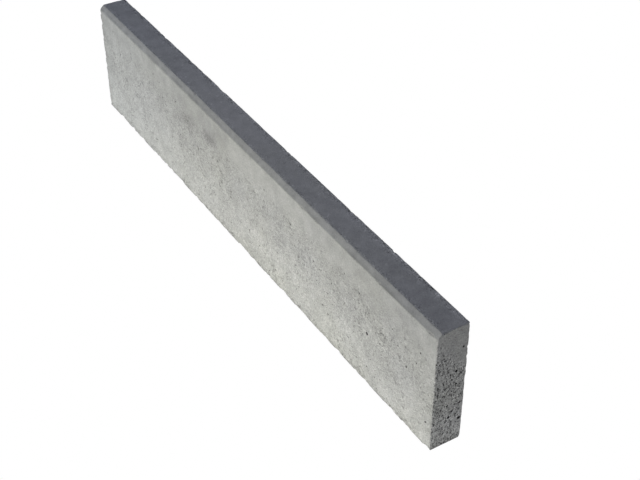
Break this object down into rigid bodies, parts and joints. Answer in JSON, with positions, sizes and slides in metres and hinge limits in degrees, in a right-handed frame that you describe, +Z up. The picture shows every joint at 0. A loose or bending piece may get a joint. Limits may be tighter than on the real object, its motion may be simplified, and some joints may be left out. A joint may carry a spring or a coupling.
{
  "type": "concrete kerb stone",
  "caption": "Straight concrete garden kerb stone with a chamfered top edge, set on its narrow base to border a path, lawn or bed.",
  "frame": {"origin": "middle of the base, on the floor that the stone stands on", "axes": "+X along the stone, -Y out of the front face with the chamfer, +Z up"},
  "size_m": [1, 0.05, 0.2],
  "materials": {
    "concrete": "matte"
  },
  "bodies": {
    "root": {"kerb_stone": "concrete"}
  },
  "joints": []
}
